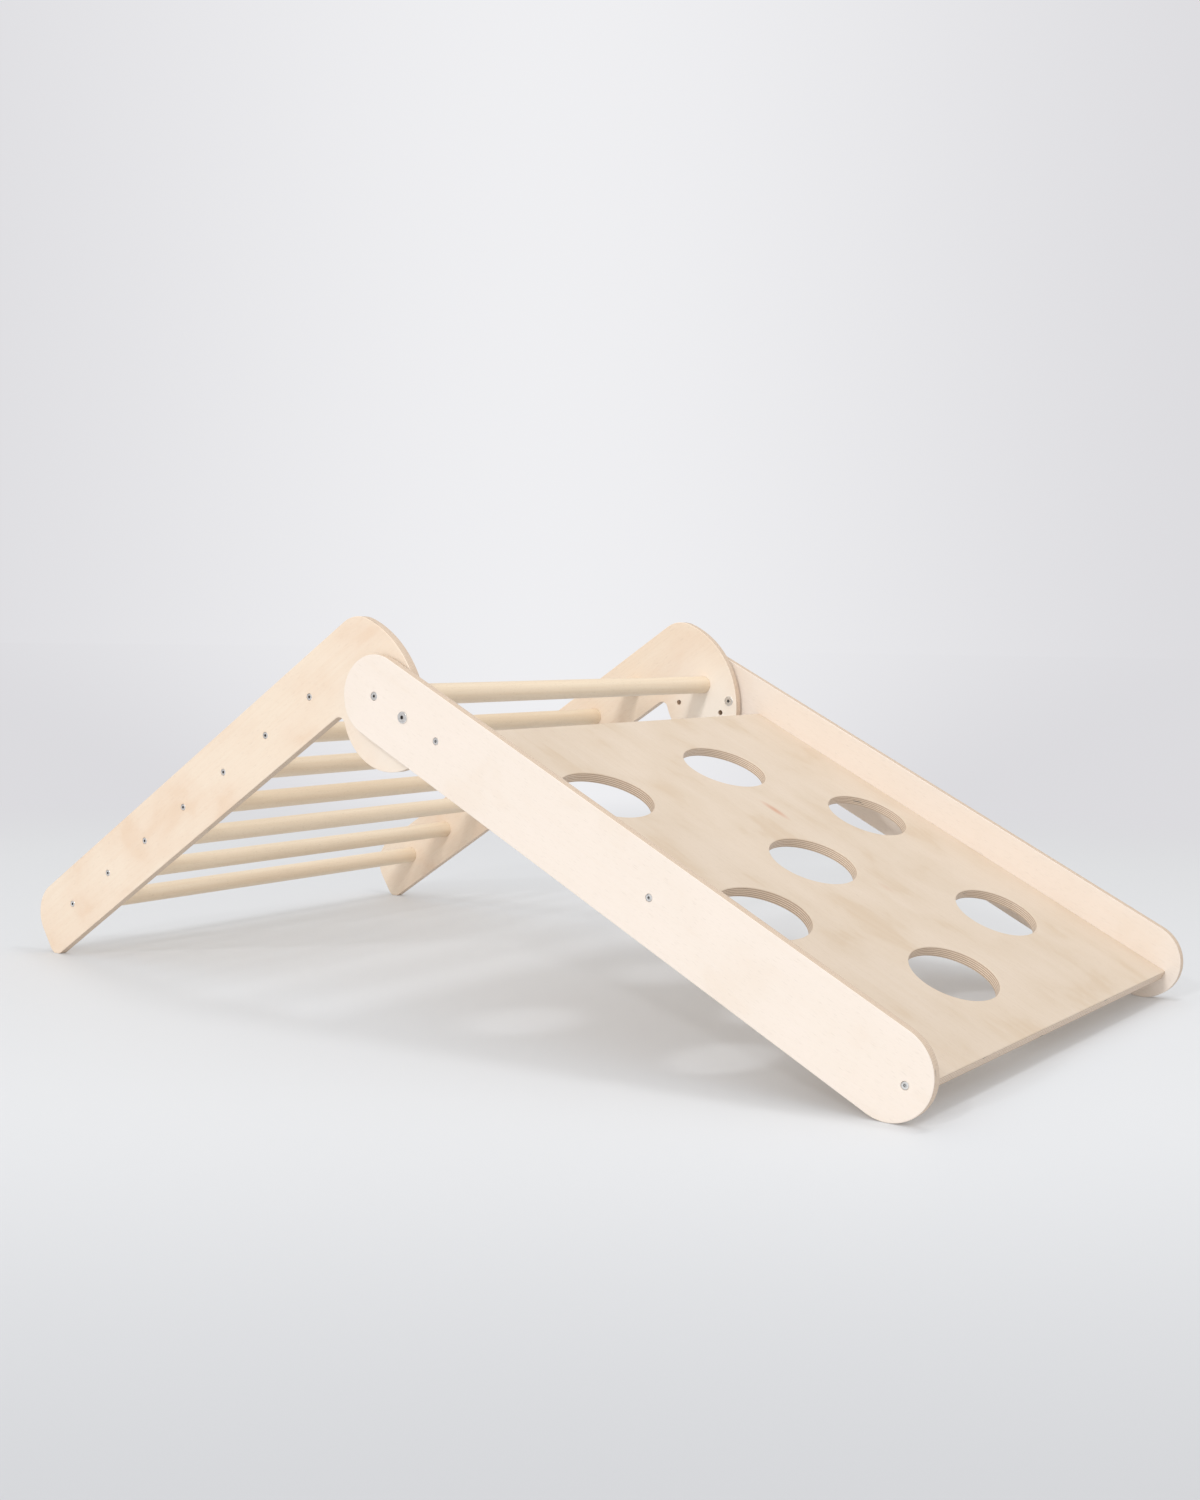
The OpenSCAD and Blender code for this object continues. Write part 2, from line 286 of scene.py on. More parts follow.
class Solid:
    """Closed shapes for one mesh. Each is swept from an outline in a plane, along its depth."""

    def __init__(self):
        self.points, self.faces, self.normals, self.coats = [], [], [], []
        self.coat = 0             # number of the material that the next faces take

    def add_face(self, corners, normals):
        a, b, c = (self.points[i] for i in (corners[0], corners[1], corners[-1]))
        if (b - a).cross(c - a).dot(sum(normals, Vector((0, 0, 0)))) < 0:
            corners, normals = corners[::-1], normals[::-1]
        self.faces.append(corners)
        self.normals.extend(normals)
        self.coats.append(self.coat)

    def wall(self, place, outline, profile, outward, stretch=(1, 1)):
        """Sweeps an outline along a profile of (inset, depth). outward is 1 for a body and -1
        for a hole. stretch scales the insets along u and along v. Returns the rings of vertices."""
        count = len(outline)
        edge_out = []
        for a, b in zip(outline, outline[1:] + outline[:1]):
            side = (b - a).normalized()
            edge_out.append(Vector((side.y, -side.x)) * outward)
        slides, before, after = [], [], []
        for i in range(count):
            last, following = edge_out[i - 1], edge_out[i]
            middle = (last + following).normalized()
            slide = middle / max(0.3, middle.dot(following))     # 0.3 limits it at a sharp corner
            slides.append(Vector((slide.x * stretch[0], slide.y * stretch[1])))
            smooth = soft(last, following)
            before.append(smooth or last)
            after.append(smooth or following)
        rings = []
        for inset, depth in profile:
            rings.append(range(len(self.points), len(self.points) + count))
            for point, slide in zip(outline, slides):
                flat = point - slide * inset
                self.points.append(place @ Vector((flat.x, flat.y, depth)))
        forward = 1 if profile[-1][1] > profile[0][1] else -1
        flats = []
        for (inset_a, depth_a), (inset_b, depth_b) in zip(profile, profile[1:]):
            flats.append(Vector((depth_b - depth_a, inset_b - inset_a)).normalized() * forward)
        turn = place.to_3x3()
        for k, flat in enumerate(flats):
            start = soft(flats[k - 1], flat) if k else None
            end = soft(flat, flats[k + 1]) if k + 1 < len(flats) else None
            if not k and soft(Vector((0, -forward)), flat):
                start = Vector((0, -forward))
            if k + 1 == len(flats) and soft(Vector((0, forward)), flat):
                end = Vector((0, forward))
            tilts = (start or flat, end or flat)
            for i in range(count):
                j = (i + 1) % count
                corners = [rings[k][i], rings[k][j], rings[k + 1][j], rings[k + 1][i]]
                sides = (after[i], before[j], before[j], after[i])
                leans = (tilts[0], tilts[0], tilts[1], tilts[1])
                normals = [turn @ Vector((s.x * t.x, s.y * t.x, t.y)).normalized()
                           for s, t in zip(sides, leans)]
                self.add_face(corners, normals)
        return rings

    def cap(self, place, loops, facing):
        """Closes a flat with holes. facing is -1 for the front and 1 for the back."""
        flat = place.inverted()
        order = [i for loop in loops for i in loop]
        shapes = [[flat @ self.points[i] for i in loop] for loop in loops]
        normal = place.to_3x3() @ Vector((0, 0, facing))
        for triangle in tessellate_polygon([[Vector((p.x, p.y, 0)) for p in s] for s in shapes]):
            self.add_face([order[i] for i in triangle], [normal] * 3)

    def sweep(self, place, outline, profile, holes=(), stretch=(1, 1)):
        """A closed body with holes, each (outline, profile) and perhaps a coat of its own.
        A hole that ends inside gets a floor."""
        rings = self.wall(place, outline, profile, 1, stretch)
        front, back = profile[0][1], profile[-1][1]
        fronts, backs = [rings[0]], [rings[-1]]
        for hole_outline, hole_profile, *coat in holes:
            self.coat = coat[0] if coat else 0
            hole_rings = self.wall(place, hole_outline, hole_profile, -1)
            forward = 1 if hole_profile[-1][1] > hole_profile[0][1] else -1
            (fronts if forward > 0 else backs).append(hole_rings[0])
            if math.isclose(hole_profile[-1][1], back, abs_tol=1e-7):
                backs.append(hole_rings[-1])
            elif not math.isclose(hole_profile[-1][1], front, abs_tol=1e-7):
                self.cap(place, [hole_rings[-1]], -forward)
            self.coat = 0
        self.cap(place, fronts, -1)
        self.cap(place, backs, 1)

    def piece(self, name, materials, body, slot, *nodes):
        """Turns the shapes into a piece that rides on a body and stands for CAD nodes."""
        mesh = bpy.data.meshes.new(name)
        mesh.from_pydata(self.points, [], self.faces)
        mesh.shade_smooth()
        mesh.normals_split_custom_set(self.normals)
        for material in materials:
            mesh.materials.append(material)
        mesh.polygons.foreach_set("material_index", self.coats)
        made = bpy.data.objects.new(name, mesh)
        bpy.context.scene.collection.objects.link(made)
        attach(made, body)
        if nodes:
            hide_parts(*nodes)
        return made


def round_hole(centre, *steps, **mouths):
    """A stepped round hole: its outline at the first step's radius, and its profile."""
    base = steps[0][0]
    profile = [(radius - base, depth) for radius, depth in drilled(*steps, **mouths)]
    return circle(centre, base), profile


def hex_hole(centre, across, depth):
    """A blind hexagon socket, measured across its corners, in the piece's second material. That colour
    paints the shade inside the socket; on the board screws it is lighter, painted light.
    """
    return circle(centre, across / 2, 6), [(0, 0), (0, depth)], 1


def turned(*steps):
    """Profile of a round body from steps of (radius, depth), as insets from the largest."""
    widest = max(radius for radius, depth in steps)
    return widest, [(widest - radius, depth) for radius, depth in steps]


# ---- placing --------------------------------------------------------------------
def placed(u, v, w, corner):
    """The matrix that turns X, Y and Z to u, v and w and moves them to a corner."""
    return Matrix([(u[i], v[i], w[i], corner[i]) for i in range(3)] + [(0, 0, 0, 1)])


def upright(y, inward, slope=0.0):
    """Places plane shapes in an upright panel: u along the slope, v square to it and up,
    and the depth from y along inward, which is 1 or -1 along Y."""
    slope = math.radians(slope)
    u = Vector((math.cos(slope), 0, -math.sin(slope)))
    v = Vector((math.sin(slope), 0, math.cos(slope)))
    return placed(u, v, (0, inward, 0), (PIVOT.x, y, PIVOT.z))


def board_place():
    """u runs down the slide, v across it, and the depth goes down from the top face."""
    slope = math.radians(SLIDE_SLOPE)
    u = Vector((math.cos(slope), 0, -math.sin(slope)))
    up = Vector((math.sin(slope), 0, math.cos(slope)))
    return placed(u, (0, 1, 0), -up, PIVOT + up * BOARD_RISE)


# ---- materials ------------------------------------------------------------------
class Nodes:
    """A short way to write a shader."""

    def __init__(self, owner):
        owner.use_nodes = True
        self.tree = owner.node_tree
        self.made = self.tree.nodes

    def add(self, kind, inputs=(), **settings):
        node = self.made.new("ShaderNode" + kind)
        for name, value in settings.items():
            setattr(node, name, value)
        for key, value in dict(inputs).items():
            if isinstance(value, bpy.types.NodeSocket):
                self.tree.links.new(value, node.inputs[key])
            else:
                node.inputs[key].default_value = value
        return node

    def calc(self, operation, *values):
        return self.add("Math", dict(enumerate(values)), operation=operation).outputs[0]

    def vector(self, operation, *values, output=0):
        return self.add("VectorMath", dict(enumerate(values)), operation=operation).outputs[output]

    def step(self, value, low, high):
        """0 below low and 1 above high, smooth between."""
        node = self.add("MapRange", {"Value": value, "From Min": low, "From Max": high},
                        interpolation_type="SMOOTHSTEP")
        return node.outputs["Result"]

    def noise(self, at, scales, detail=2.0, distortion=0.0):
        """Noise from 0 to 1 whose scales are in waves per metre along each axis."""
        moved = self.vector("MULTIPLY", at, scales)
        inputs = {"Vector": moved, "Scale": 1.0, "Detail": detail, "Roughness": 0.5,
                  "Distortion": distortion}
        return self.add("TexNoise", inputs).outputs["Fac"]

    def mix(self, share, a, b):
        """From a to b, which are colours or sockets."""
        a, b = ((*c, 1.0) if isinstance(c, tuple) else c for c in (a, b))
        return self.add("Mix", {0: share, 6: a, 7: b}, data_type="RGBA").outputs[2]

    def object_place(self):
        return self.add("TexCoord").outputs["Object"]


def new_shader(name, roughness, **settings):
    material = bpy.data.materials.new(name)
    n = Nodes(material)
    shader = n.made["Principled BSDF"]
    shader.inputs["Roughness"].default_value = roughness
    for key, value in settings.items():
        shader.inputs[key.replace("_", " ")].default_value = value
    return material, n, shader


def turned_to(n, place, seed):
    """Coordinates along the grain, across it and through the panel, moved by a seed."""
    turn = place.to_3x3()
    local = n.vector("SUBTRACT", n.object_place(), place.translation)
    parts = [n.vector("DOT_PRODUCT", local, turn.col[i], output=1) for i in range(3)]
    at = n.add("CombineXYZ", dict(enumerate(parts))).outputs[0]
    return n.vector("ADD", at, Vector((seed * 1.7, seed * 2.3, seed * 0.9))), parts


def veneer_figure(n, at, rings):
    """Rotary-cut birch. Returns its broad tone, its fine lines and its short flecks."""
    cloud = n.noise(at, (9.0, 12.0, 12.0), detail=4.0, distortion=0.3)
    field = n.noise(at, (1.1, 6.0, 3.0), detail=1.5, distortion=0.5)
    contour = n.calc("SINE", n.calc("MULTIPLY", field, 95.0))
    streak = n.noise(at, (5.0, 210.0, 210.0), detail=3.0)
    fleck = n.noise(at, (85.0, 1150.0, 1150.0), detail=1.0)
    tone = n.calc("ADD", n.step(cloud, 0.32, 0.70), n.calc("MULTIPLY", contour, rings))
    lines = n.step(streak, 0.35, 0.75)
    flecks = n.step(fleck, 0.62, 0.74)
    return tone, lines, flecks


def spot(n, parts, centre, size):
    """How much of an oval mark is at a place: 1 in its middle, 0 from its rim on."""
    along = n.calc("DIVIDE", n.calc("SUBTRACT", parts[0], centre[0]), size[0])
    across = n.calc("DIVIDE", n.calc("SUBTRACT", parts[1], centre[1]), size[1])
    square = n.calc("ADD", n.calc("MULTIPLY", along, along), n.calc("MULTIPLY", across, across))
    return n.calc("SUBTRACT", 1.0, n.step(n.calc("SQRT", square), 0.0, 1.0))


def paint(n, shader, colour, height, strength, distance=0.0002):
    """Gives a shader its colour and its fine relief."""
    n.tree.links.new(colour, shader.inputs["Base Color"])
    bump = n.add("Bump", {"Strength": strength, "Distance": distance, "Height": height})
    n.tree.links.new(bump.outputs[0], shader.inputs["Normal"])


def cut_edge(n, at, through):
    """Colour of the plies on a cut edge, and their unevenness, from the depth through the panel."""
    ply = PLY / PLIES
    depth = n.calc("MINIMUM", n.calc("MAXIMUM", through, 0.1 * ply), PLY - 0.1 * ply)
    layer = n.calc("DIVIDE", depth, ply)
    cross = n.calc("MODULO", n.calc("FLOOR", layer), 2.0)
    glue = n.calc("SUBTRACT", 1.0, n.step(n.calc("PINGPONG", n.calc("FRACT", layer), 0.5), 0.03, 0.09))
    grit = n.noise(at, (700.0, 700.0, 1500.0))
    drift = n.noise(at, (30.0, 30.0, 400.0))
    long_grain = n.mix(drift, (0.90, 0.78, 0.65), (0.84, 0.69, 0.55))
    end_grain = n.mix(grit, (0.66, 0.50, 0.37), (0.44, 0.31, 0.21))
    edge = n.mix(cross, long_grain, end_grain)
    edge = n.mix(n.calc("MULTIPLY", glue, 0.55), edge, (0.20, 0.12, 0.07))
    gap = n.step(n.noise(at, (26.0, 26.0, 300.0), detail=0.0), 0.80, 0.83)
    edge = n.mix(n.calc("MULTIPLY", n.calc("MULTIPLY", gap, cross), 0.9), edge, (0.06, 0.035, 0.02))
    return edge, n.calc("ADD", cross, n.calc("MULTIPLY", grit, 1.5))


def plywood(name, place, tones, seed, roughness=0.5, rings=0.03, marks=()):
    """Birch plywood whose faces show long grain along u and whose cut edges show its plies.
    tones are the light, middle and warm colours of the face."""
    material, n, shader = new_shader(name, roughness, Specular_IOR_Level=0.32)
    at, parts = turned_to(n, place, seed)
    tone, lines, flecks = veneer_figure(n, at, rings)
    light, middle, warm = tones
    face = n.mix(tone, light, middle)
    face = n.mix(n.calc("MULTIPLY", n.step(tone, 0.7, 1.15), 0.5), face, warm)
    face = n.mix(n.calc("MULTIPLY", lines, 0.16), face, warm)
    face = n.mix(n.calc("MULTIPLY", flecks, 0.30), face, tuple(c * 0.72 for c in warm))
    # Marks are knots, and on the ladder heads a paler patch of painted light
    for centre, size, strength, colour in marks:
        face = n.mix(n.calc("MULTIPLY", spot(n, parts, centre, size), strength), face, colour)
    edge, uneven = cut_edge(n, at, parts[2])
    from_middle = n.calc("ABSOLUTE", n.calc("SUBTRACT", parts[2], PLY / 2))
    on_face = n.calc("GREATER_THAN", from_middle, PLY / 2 - PLY / PLIES)
    grain = n.calc("ADD", n.calc("MULTIPLY", lines, -0.5), n.calc("MULTIPLY", flecks, -0.5))
    plies = n.calc("MULTIPLY", uneven, n.calc("SUBTRACT", on_face, 1.0))
    paint(n, shader, n.mix(on_face, edge, face), n.calc("ADD", grain, plies), 0.22)
    return material


def dowel_wood(name, tones, seed):
    """Turned wood with straight grain along Y. Each rung gets a tone of its own from its place."""
    material, n, shader = new_shader(name, 0.46, Specular_IOR_Level=0.35)
    at = n.vector("ADD", n.object_place(), (seed, seed * 0.7, seed * 1.3))
    light, middle, dark = tones
    own = n.noise(at, (7.0, 0.3, 7.0), detail=0.0)
    bands = n.noise(at, (70.0, 1.2, 70.0), distortion=0.3)
    streak = n.noise(at, (420.0, 5.0, 420.0), detail=3.0)
    flecks = n.step(n.noise(at, (1500.0, 130.0, 1500.0), detail=1.0), 0.62, 0.72)
    colour = n.mix(n.step(own, 0.3, 0.7), light, middle)
    colour = n.mix(n.calc("MULTIPLY", n.step(bands, 0.4, 0.7), 0.35), colour, dark)
    colour = n.mix(n.calc("MULTIPLY", n.step(streak, 0.45, 0.75), 0.25), colour, dark)
    colour = n.mix(n.calc("MULTIPLY", flecks, 0.35), colour, tuple(c * 0.7 for c in dark))
    height = n.calc("ADD", n.calc("MULTIPLY", streak, -0.6), n.calc("MULTIPLY", flecks, -0.4))
    paint(n, shader, colour, height, 0.2)
    return material


def plated_metal(name, colour, roughness, seed):
    """Plated metal, a little cloudy, with fine marks from handling."""
    material, n, shader = new_shader(name, roughness, Metallic=1.0)
    at = n.vector("ADD", n.object_place(), (seed, seed, seed))
    cloud = n.noise(at, (260.0, 260.0, 260.0))
    marks = n.noise(at, (900.0, 900.0, 4200.0))
    tint = n.mix(n.step(cloud, 0.3, 0.7), colour, tuple(c * 0.82 for c in colour))
    tint = n.mix(n.calc("MULTIPLY", n.step(marks, 0.6, 0.8), 0.3), tint, tuple(c * 0.6 for c in colour))
    paint(n, shader, tint, marks, 0.15, 0.0001)
    return material


def nylon_plastic(name, colour):
    material, n, shader = new_shader(name, 0.4, Subsurface_Weight=0.1)
    cloud = n.noise(n.object_place(), (400.0, 400.0, 400.0))
    tint = n.mix(cloud, colour, tuple(c * 0.93 for c in colour))
    paint(n, shader, tint, cloud, 0.1, 0.0001)
    return material


# Light, middle and warm tones of each kind of wood
FRAME_TONES = ((0.88, 0.75, 0.61), (0.85, 0.69, 0.545), (0.80, 0.60, 0.43))
RAIL_TONES = ((0.90, 0.805, 0.72), (0.885, 0.79, 0.70), (0.86, 0.74, 0.63))
BOARD_TONES = ((0.74, 0.625, 0.51), (0.70, 0.58, 0.455), (0.64, 0.49, 0.345))
DOWEL_TONES = ((0.89, 0.765, 0.605), (0.85, 0.715, 0.545), (0.74, 0.565, 0.39))
KNOT_TONE = (0.62, 0.34, 0.22)
# The pale tone is painted light, laid on the ladder heads where the rail casts its shadow
PAINTED_LIGHT_TONE = (0.95, 0.88, 0.79)

near_side = upright(-SIDE_OUT, 1)
far_side = upright(SIDE_OUT, -1)
near_rail = upright(-RAIL_OUT, 1, SLIDE_SLOPE)
far_rail = upright(RAIL_OUT, -1, SLIDE_SLOPE)
board = board_place()


def grain_along(place, degrees):
    """A panel's frame turned in its own plane, so that its first axis follows the grain."""
    return place @ Matrix.Rotation(math.radians(degrees), 4, "Z")


# Marks on a face: centre, half sizes, strength and colour. The ladder heads are painted paler round the
# pivot: painted light that lightens the rail's cast shadow there.
painted_light_head = [((-0.010, -0.045), (0.13, 0.15), 0.9, PAINTED_LIGHT_TONE)]
board_knots = [((0.393, 0.062), (0.036, 0.012), 0.85, KNOT_TONE),
               ((0.610, 0.050), (0.020, 0.012), 0.20, KNOT_TONE)]
frame_near = plywood("birch_ladder_near", grain_along(near_side, LEG_SLOPE), FRAME_TONES,
                     seed=3.0, marks=painted_light_head)
frame_far = plywood("birch_ladder_far", grain_along(far_side, LEG_SLOPE), FRAME_TONES,
                    seed=8.0, marks=painted_light_head)
rail_near = plywood("birch_rail_near", near_rail, RAIL_TONES, seed=12.0)
rail_far = plywood("birch_rail_far", far_rail, RAIL_TONES, seed=17.0)
board_wood = plywood("birch_board", board, BOARD_TONES,
                     seed=21.0, roughness=0.42, rings=0.06, marks=board_knots)
rung_wood = dowel_wood("turned_rungs", DOWEL_TONES, seed=5.0)
# Steel and the colour of its hexagon sockets: a dark one that is painted shade in the socket, and a lighter
# one for the board screws that is painted light
steel_and_shaded_socket = [plated_metal("plated_steel", (0.86, 0.85, 0.83), roughness=0.26, seed=2.0),
          plated_metal("socket_steel_painted_shade", (0.24, 0.22, 0.20), roughness=0.60, seed=3.0)]
steel_and_lit_socket = [steel_and_shaded_socket[0],
          plated_metal("socket_steel_painted_light", (0.55, 0.55, 0.55), roughness=0.50, seed=3.0)]
brass = plated_metal("brass", (0.80, 0.62, 0.30), roughness=0.35, seed=4.0)
nylon = nylon_plastic("nylon", (0.88, 0.88, 0.86))

# ---- ladder sides ---------------------------------------------------------------
ZERO = Vector((0, 0))
HEAD_ROOM = SCREW_HEAD_H + SUNK + CLEAR     # depth of the room for a sunk head
HEAD_HOLE = (SCREW_HEAD_R + HEAD_CLEAR, 0, HEAD_ROOM)
PANEL_FLOOR = PLY - SOCKET                  # depth at which a rung's seat begins
# Where the lock holes are round the pivot: in use, steeper, and folded
lock_turns = [-SLIDE_SLOPE, -SLIDE_SLOPE - STEEP_STEP, LEG_SLOPE - 180]
rung_places = [rung_place(i) for i in range(1, RUNG_COUNT + 1)]
board_screw_places = [Vector((u, 0)) for u in
                      (BOARD_START + SCREW_INSET, (BOARD_START + BOARD_END) / 2, BOARD_END - SCREW_INSET)]


def ladder_side(name, place, material, node):
    seat = (RUNG_R + CLEAR, PANEL_FLOOR, PLY)
    screw_hole = (SCREW_R + CLEAR, HEAD_ROOM, PANEL_FLOOR)
    mouths = (MOUTH, SEAT_MOUTH)
    holes = [round_hole(centre, HEAD_HOLE, screw_hole, seat, mouths=mouths) for centre in rung_places]
    holes.append(round_hole(ZERO, (PIVOT_BOLT_R + CLEAR, 0, PANEL_FLOOR), seat, mouths=mouths))
    for turn in lock_turns:
        holes.append(round_hole(polar(LOCK_AT, turn), (LOCK_NUT_R + CLEAR, 0, PLY)))
    solid = Solid()
    solid.sweep(place, ladder_outline(), rounded(PLY, RIM), holes)
    solid.piece(name, [material], "climber", "ply_frame", node)


ladder_side("ladder_side_near", near_side, frame_near, "climber_side_near")
ladder_side("ladder_side_far", far_side, frame_far, "climber_side_far")


# ---- rungs ----------------------------------------------------------------------
def rung(name, centre, node, bore):
    """A rung with the same stepped bore in both ends."""
    length = 2 * RUNG_END
    radius, profile = turned((RUNG_R - RUNG_CHAMFER, 0), (RUNG_R, RUNG_CHAMFER),
                             (RUNG_R, length - RUNG_CHAMFER), (RUNG_R - RUNG_CHAMFER, length))
    other_end = [(r, length - start, length - end) for r, start, end in bore]
    holes = [round_hole(centre, *steps, mouths=(0, 0)) for steps in (bore, other_end)]
    solid = Solid()
    solid.sweep(upright(-RUNG_END, 1), circle(centre, radius, RUNG_FLATS), profile, holes)
    solid.piece(name, [rung_wood], "climber", "dowel", node)


SCREW_BORE = SCREW_LEN + PILOT_SPARE - (SIDE_OUT - RUNG_END)
PIVOT_BORE = PIVOT_LEN + PILOT_SPARE - (RAIL_OUT - RUNG_END)
for i, centre in enumerate(rung_places, start=1):
    rung(f"rung_{i}_dowel", centre, f"rung_{i}", [(SCREW_R + CLEAR, 0, SCREW_BORE)])
rung("head_rung_dowel", ZERO, "head_rung",
     [(INSERT_R + CLEAR, 0, INSERT_LEN), (PIVOT_BOLT_R + CLEAR, INSERT_LEN, PIVOT_BORE)])


# ---- fasteners ------------------------------------------------------------------
def fastener(solid, place, centre, steps, key, key_depth):
    """A turned fastener with a hexagon socket in its head. steps run from the head's face."""
    radius, profile = turned(*steps)
    solid.sweep(place, circle(centre, radius, SCREW_FLATS), profile, [hex_hole(centre, key, key_depth)])


def panel_screw(solid, place, centre, head_r, shank_r, length):
    moved = place @ Matrix.Translation((0, 0, SUNK))
    steps = ((head_r - SCREW_CHAMFER, 0), (head_r, SCREW_CHAMFER), (head_r, SCREW_HEAD_H),
             (shank_r, SCREW_HEAD_H), (shank_r, length - shank_r), (shank_r / 2, length))
    fastener(solid, moved, centre, steps, SCREW_KEY, SCREW_KEY_DEPTH)


def flat_head():
    """Steps of the flat head of a lock bolt or a lock nut, with its softened rim."""
    return ((LOCK_HEAD_R - 1.0 * MM, 0), (LOCK_HEAD_R - 0.3 * MM, 0.35 * MM),
            (LOCK_HEAD_R, 1.0 * MM), (LOCK_HEAD_R, LOCK_HEAD_H))


def lock_bolt(solid, place, centre):
    moved = place @ Matrix.Translation((0, 0, -LOCK_HEAD_H - CLEAR))
    steps = (*flat_head(), (LOCK_BOLT_R, LOCK_HEAD_H), (LOCK_BOLT_R, LOCK_HEAD_H + PLY))
    fastener(solid, moved, centre, steps, LOCK_KEY, LOCK_KEY_DEPTH)


def lock_nut(solid, place, centre):
    """Seen from inside: its flat head is on the panel's inner face and its sleeve goes outward."""
    moved = place @ Matrix.Translation((0, 0, -LOCK_HEAD_H))
    end = LOCK_HEAD_H + PLY - NUT_SHORT
    radius, profile = turned(*flat_head(), (LOCK_NUT_R, LOCK_HEAD_H), (LOCK_NUT_R, end))
    thread = round_hole(centre, (THREAD_R, end, LOCK_HEAD_H + NUT_FLOOR), mouths=(0, 0))
    solid.sweep(moved, circle(centre, radius), profile,
                [hex_hole(centre, LOCK_KEY, LOCK_KEY_DEPTH), thread])


def ring(solid, place, centre, outer, inner, start, length):
    """A washer or a sleeve."""
    moved = place @ Matrix.Translation((0, 0, start))
    bore = round_hole(centre, (inner, 0, length), mouths=(RING_MOUTH, RING_MOUTH))
    solid.sweep(moved, circle(centre, outer), rounded(length, RING_RIM), [bore])


def group(name, materials, body, slot, node, place, centres, maker, *sizes):
    """One or several fasteners as one piece."""
    solid = Solid()
    for centre in centres:
        maker(solid, place, centre, *sizes)
    solid.piece(name, materials, body, slot, node)


SCREW = (SCREW_HEAD_R, SCREW_R, SCREW_LEN)
PIVOT_BOLT = (PIVOT_HEAD_R, PIVOT_BOLT_R, PIVOT_LEN)
WASHER_LEN = RAIL_IN - SIDE_OUT - 2 * CLEAR
for side, sign in (("near", -1), ("far", 1)):
    outer_side = upright(sign * SIDE_OUT, -sign)
    inner_side = upright(sign * SIDE_IN, sign)
    rail = upright(sign * RAIL_OUT, -sign, SLIDE_SLOPE)
    rung_end = upright(sign * RUNG_END, -sign)
    rail_inner = upright(sign * RAIL_IN, -sign)
    group(f"rung_screws_{side}_set", steel_and_shaded_socket, "climber", "steel", f"rung_screws_{side}",
          outer_side, rung_places, panel_screw, *SCREW)
    group(f"pivot_bolt_{side}_part", steel_and_shaded_socket, "climber", "steel", f"pivot_bolt_{side}",
          rail, [ZERO], panel_screw, *PIVOT_BOLT)
    # The board screws' sockets take the lighter colour, painted light
    group(f"board_screws_{side}_set", steel_and_lit_socket, "slide", "steel", f"board_screws_{side}",
          rail, board_screw_places, panel_screw, *SCREW)
    group(f"lock_bolt_{side}_part", steel_and_shaded_socket, f"{side}_lock", "steel", f"lock_bolt_{side}",
          rail, [Vector((LOCK_AT, 0))], lock_bolt)
    group(f"lock_nut_{side}_part", steel_and_shaded_socket, "climber", "steel", f"lock_nut_{side}",
          inner_side, [polar(LOCK_AT, lock_turns[0])], lock_nut)
    group(f"pivot_washer_{side}_ring", [nylon], "climber", "nylon", f"pivot_washer_{side}",
          rail_inner, [ZERO], ring, WASHER_R, PIVOT_BOLT_R + 2 * CLEAR, CLEAR, WASHER_LEN)
    group(f"head_insert_{side}_sleeve", [brass], "climber", "brass", f"head_insert_{side}",
          rung_end, [ZERO], ring, INSERT_R, PIVOT_BOLT_R + CLEAR, 0.0, INSERT_LEN)


# ---- slide ----------------------------------------------------------------------
def slide_rail(name, place, material, node):
    pivot_room = (PIVOT_HEAD_R + HEAD_CLEAR, 0, HEAD_ROOM)
    holes = [round_hole(ZERO, pivot_room, (PIVOT_BOLT_R + RUN_CLEAR, HEAD_ROOM, PLY)),
             round_hole(Vector((LOCK_AT, 0)), (LOCK_BOLT_R + RUN_CLEAR, 0, PLY))]
    for centre in board_screw_places:
        holes.append(round_hole(centre, HEAD_HOLE, (SCREW_R + CLEAR, HEAD_ROOM, PLY)))
    solid = Solid()
    solid.sweep(place, rail_outline(), rounded(PLY, RIM), holes)
    solid.piece(name, [material], "slide", "ply_rail", node)


def slide_board(name, material, node):
    """The board fits between the rails. Its long edges are broken less than its ends."""
    half = RAIL_IN
    outline = [Vector((BOARD_START, -half)), Vector((BOARD_END, -half)),
               Vector((BOARD_END, half)), Vector((BOARD_START, half))]
    edge = rounded(PLY, BOARD_RIM)
    holes = [(oval(Vector(at) * MM), edge) for at in HAND_HOLES]
    solid = Solid()
    solid.sweep(board, outline, edge, holes, stretch=(1, 0.6))
    solid.piece(name, [material], "slide", "ply_board", node)


slide_rail("slide_rail_near_panel", near_rail, rail_near, "slide_rail_near")
slide_rail("slide_rail_far_panel", far_rail, rail_far, "slide_rail_far")
slide_board("slide_board_panel", board_wood, "slide_board")


# ---- stage and light ------------------------------------------------------------
def backdrop_tone(n, direction):
    """The pale backdrop, lightest behind the object and darker towards the sides with painted shade, from a
    direction seen from the object.
    """
    yaw = math.radians(CAMERA_YAW)
    side = n.vector("DOT_PRODUCT", direction, (math.cos(yaw), math.sin(yaw), 0), output=1)
    drop = n.step(n.calc("ABSOLUTE", n.calc("ADD", side, 0.03)), 0.0, 0.42)
    return n.mix(drop, (0.865, 0.865, 0.885), (0.715, 0.71, 0.735))


# Tones of the light from below and from above
ROOM_LOW, ROOM_HIGH = (0.50, 0.48, 0.455), (1.0, 0.99, 0.98)


